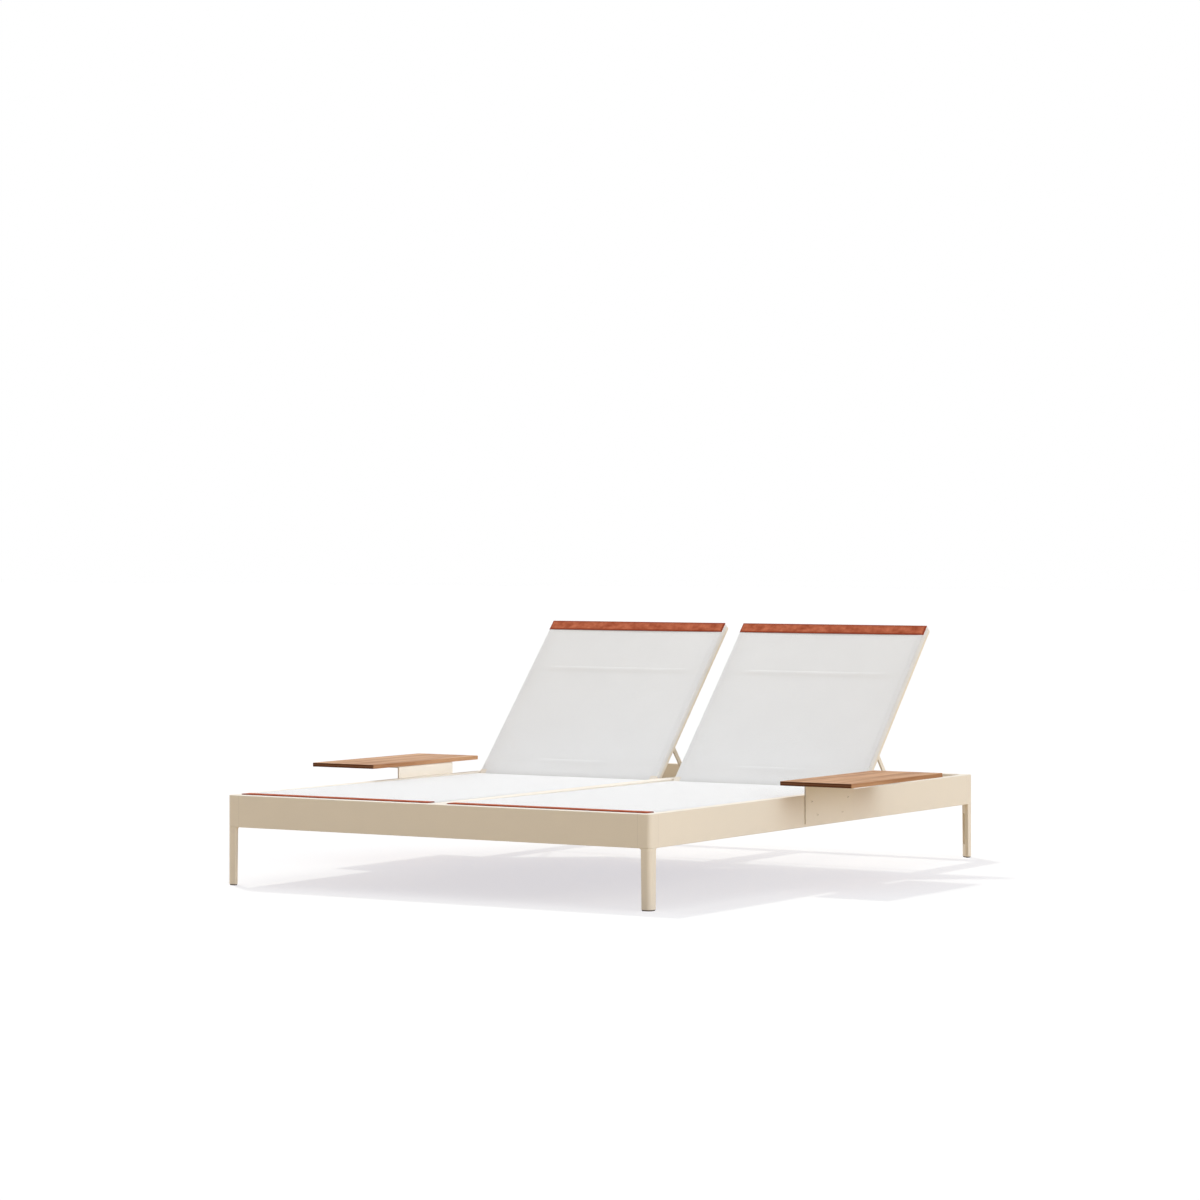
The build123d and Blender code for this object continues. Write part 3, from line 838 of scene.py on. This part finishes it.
steel = stainless()
for side, sign in both_sides:
    for name in ("backrest_side_tubes", "backrest_knuckles", "backrest_cross_tubes"):
        dress(f"{side}_{name}", rail_coat)
    dress(f"{side}_hinge_studs", steel)
    plates = tube_ends(f"{side}_backrest_tube_ends", backrest_place(sign))
    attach(plates, f"{side}_backrest")

# Backrest slings and head bands: the same white mesh, turned over the side tubes and the
# head tube, with a tongue turned over the bottom tube between the knuckles, hemmed and
# stitched; the same leather strip is sewn over its head end.
back_length = 0.663
back_creases = ((0.071, 0.130), (0.463, 0.266))
knuckle_length = 0.0204
tongue_half = 0.3089
tongue_start = 0.0013
past_knuckle = 0.003
before_head_trim = 0.045
for side, sign in both_sides:
    place = backrest_place(sign)
    sling = sling_sheet(f"{side}_backrest_mesh", knuckle_length, back_length - turn_radius, back_creases,
                        False, (tongue_half, tongue_start))
    stitching = hem_stitches(f"{side}_backrest_mesh_stitches", knuckle_length + past_knuckle,
                             back_length - before_head_trim)
    fit_sling(sling, stitching, place, f"{side}_backrest", f"{side}_backrest_sling")
    trim = fit_trim(f"{side}_head_leather", place, f"{side}_backrest", back_length - trim_depth,
                    back_length, f"{side}_head_trim")

# Props: two flat arms on stainless pins with a tube through their feet, which rests in
# notched strips on the side rail and the centre rail; arms, tube and strips coated cream.
for side, _ in both_sides:
    for name in ("prop_arms", "prop_rod", "prop_racks"):
        dress(f"{side}_{name}", rail_coat)
    dress(f"{side}_prop_pins", steel)

# Side tables: a teak board on a folded aluminium plate, coated cream and screwed to the
# outside of the side rail with four small button-head screws; the board is screwed from below.
board_middle = (0.8387, 0.027, 0.30775)
plate_face = 0.7295
plate_half = 0.150
# The plate's cut ends get a thin line of painted shade, darker than the coat.
edge_shade_width = 0.0002
# Each pair of screws: how far each lies from the board's middle, and its height.
screw_pairs = ((0.113, 0.245), (0.078, 0.2034))
# Rings of a screw from the bottom of its socket over its dome to its rim: radius, and how
# far it stands out of the plate. The socket's two rings are hexagonal.
screw_profile = ((0.00125, 0.0004), (0.00145, 0.0020), (0.0022, 0.0019), (0.0032, 0.0015),
                 (0.0040, 0.0009), (0.0045, 0.0), (0.0044, -0.0001))
socket_rings = 2
socket_flat = math.pi / 3
screw_sides = 24
teak_deep = (0.35, 0.165, 0.074)
teak_pale = (0.67, 0.40, 0.225)
teak_pore = (0.25, 0.11, 0.05, 1)
teak_edge = (0.36, 0.15, 0.065, 1)
teak_stretch = (1.0, 0.045, 1.0)
teak_warp_scale = 5.0
teak_band_scale = 55.0
teak_figure_scale = 14.0
teak_pore_scale = 900.0
# How much the bands, the broad figure and the warp add to the wood's tone, and the range
# of that tone.
teak_shares = (0.55, 0.35, 0.10)
teak_tones = (0.40, 0.61)
teak_roughness = (0.62, 0.5)
teak_relief = 0.0003
teak_shine = 0.12
end_layer = (0.0008, 0.0022)
end_middle = (0.24, 0.10, 0.045)
end_outer = (0.115, 0.038, 0.014)
end_speckle = (0.08, 0.03, 0.012, 1)
end_speckle_scale = 800.0
# The inside of each screw's socket: a dark colour, painted shade with slight dirt.
socket_deep = (0.10, 0.075, 0.05)
socket_pale = (0.17, 0.13, 0.09)
socket_shade_and_soot_scale = 900.0
socket_roughness = (0.6, 0.8)


def oiled_teak():
    """Teak cut along the board: fine dark pores, wavy bands, dark banded end grain."""
    material, tree = new_material("oiled_teak")
    coordinates = add(tree, "TexCoord").outputs
    place = coordinates["Object"]
    warp = noise(tree, place, teak_warp_scale)
    long_grain = add(tree, "Mapping", {"Vector": place, "Scale": teak_stretch}).outputs[0]
    bands = noise(tree, long_grain, teak_band_scale, detail=4.0, roughness=0.6)
    figure = noise(tree, long_grain, teak_figure_scale)
    pores = noise(tree, long_grain, teak_pore_scale, detail=3.0, roughness=0.7)
    band_share, figure_share, warp_share = teak_shares
    tone = plus(tree, maths(tree, "MULTIPLY", bands, band_share), figure, figure_share)
    tone = plus(tree, tone, warp, warp_share)
    wood = mixed_colour(tree, span(tree, tone, *teak_tones), teak_deep, teak_pale)
    dark_pore = span(tree, pores, 0.30, 0.42, 0.35, 0.0)
    wood = add(tree, "MixRGB", {"Fac": dark_pore, "Color1": wood, "Color2": teak_pore}).outputs[0]
    facing = add(tree, "SeparateXYZ", {0: coordinates["Normal"]}).outputs
    height = add(tree, "SeparateXYZ", {0: place}).outputs[2]
    from_middle = maths(tree, "ABSOLUTE", maths(tree, "SUBTRACT", height, board_middle[2]))
    layer = span(tree, from_middle, *end_layer)
    end_wood = mixed_colour(tree, layer, end_middle, end_outer)
    speckle = span(tree, noise(tree, place, end_speckle_scale, detail=3.0), 0.4, 0.7, 0.0, 0.35)
    end_wood = add(tree, "MixRGB", {"Fac": speckle, "Color1": end_wood, "Color2": end_speckle}).outputs[0]
    is_end = span(tree, maths(tree, "ABSOLUTE", facing[1]), 0.5, 0.8)
    is_edge = span(tree, maths(tree, "ABSOLUTE", facing[0]), 0.5, 0.9, 0.0, 0.35)
    wood = add(tree, "MixRGB", {"Fac": is_edge, "Color1": wood, "Color2": teak_edge}).outputs[0]
    wood = add(tree, "MixRGB", {"Fac": is_end, "Color1": wood, "Color2": end_wood}).outputs[0]
    grain = plus(tree, pores, bands, 0.4)
    shader = add(tree, "BsdfPrincipled", {
        "Base Color": wood,
        "Roughness": varied(tree, bands, *teak_roughness),
        "Normal": bump(tree, grain, teak_relief, strength=0.5),
        "Specular IOR Level": teak_shine,
    })
    ends_in(tree, shader.outputs[0])
    return material


def dark_socket():
    """Painted shade with slight dirt inside a screw's socket: a dark colour for its recess."""
    material, tree = new_material("dark_screw_socket")
    shade_and_soot = noise(tree, own_place(tree), socket_shade_and_soot_scale)
    shader = add(tree, "BsdfPrincipled", {
        "Base Color": mixed_colour(tree, shade_and_soot, socket_deep, socket_pale),
        "Roughness": varied(tree, shade_and_soot, *socket_roughness),
    })
    ends_in(tree, shader.outputs[0])
    return material


teak = oiled_teak()
socket_shadow = dark_socket()


def button_screws(name, sign, places):
    """Small domed screws with a hexagonal socket, their axis along x."""
    points, faces, dark = [], [], []
    rim = len(screw_profile) - 1

    def close(face, is_dark, outward):
        """Keeps a face, turned to look out of the plate or into it."""
        faces.append(tuple(face) if outward else tuple(reversed(face)))
        dark.append(is_dark)

    for y, z in places:
        base = len(points)
        for step, (radius, out) in enumerate(screw_profile):
            for k in range(screw_sides):
                a = 2 * math.pi * k / screw_sides
                hexed = 1.0
                if step < socket_rings:
                    hexed = math.cos(socket_flat / 2) / math.cos((a % socket_flat) - socket_flat / 2)
                points.append((sign * (plate_face + out), y + radius * hexed * math.cos(a),
                               z + radius * hexed * math.sin(a)))
        # The socket's walls and bottom take the painted shade.
        for step in range(rim):
            for k in range(screw_sides):
                a = base + step * screw_sides + k
                b = base + step * screw_sides + (k + 1) % screw_sides
                close((a, b, b + screw_sides, a + screw_sides), step == 0, sign < 0)
        close([base + k for k in range(screw_sides)], True, sign > 0)
        close([base + rim * screw_sides + k for k in range(screw_sides)], False, sign < 0)
    piece = new_piece(name, points, faces)
    piece.data.materials.append(rail_coat)
    piece.data.materials.append(socket_shadow)
    for polygon, is_dark in zip(piece.data.polygons, dark):
        polygon.material_index = 1 if is_dark else 0
    return piece


screw_places = [(board_middle[1] + k * pitch, z) for k in (-1, 1) for pitch, z in screw_pairs]
# Painted shade darkens the plate's two cut ends.
plate_edge_shade = ((1, board_middle[1], plate_half, edge_shade_width),)
plate_coat_and_edge_shade = powder_coat("cream_coat_with_painted_edge_shade", cream, plate_edge_shade)
for side, sign in both_sides:
    dress(f"{side}_table_plate", plate_coat_and_edge_shade)
    dress(f"{side}_table_board", teak)
    dress(f"{side}_board_screws", steel)
    screws = button_screws(f"{side}_plate_screws", sign, screw_places)
    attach(screws, "frame")
    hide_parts(f"{side}_table_screws")
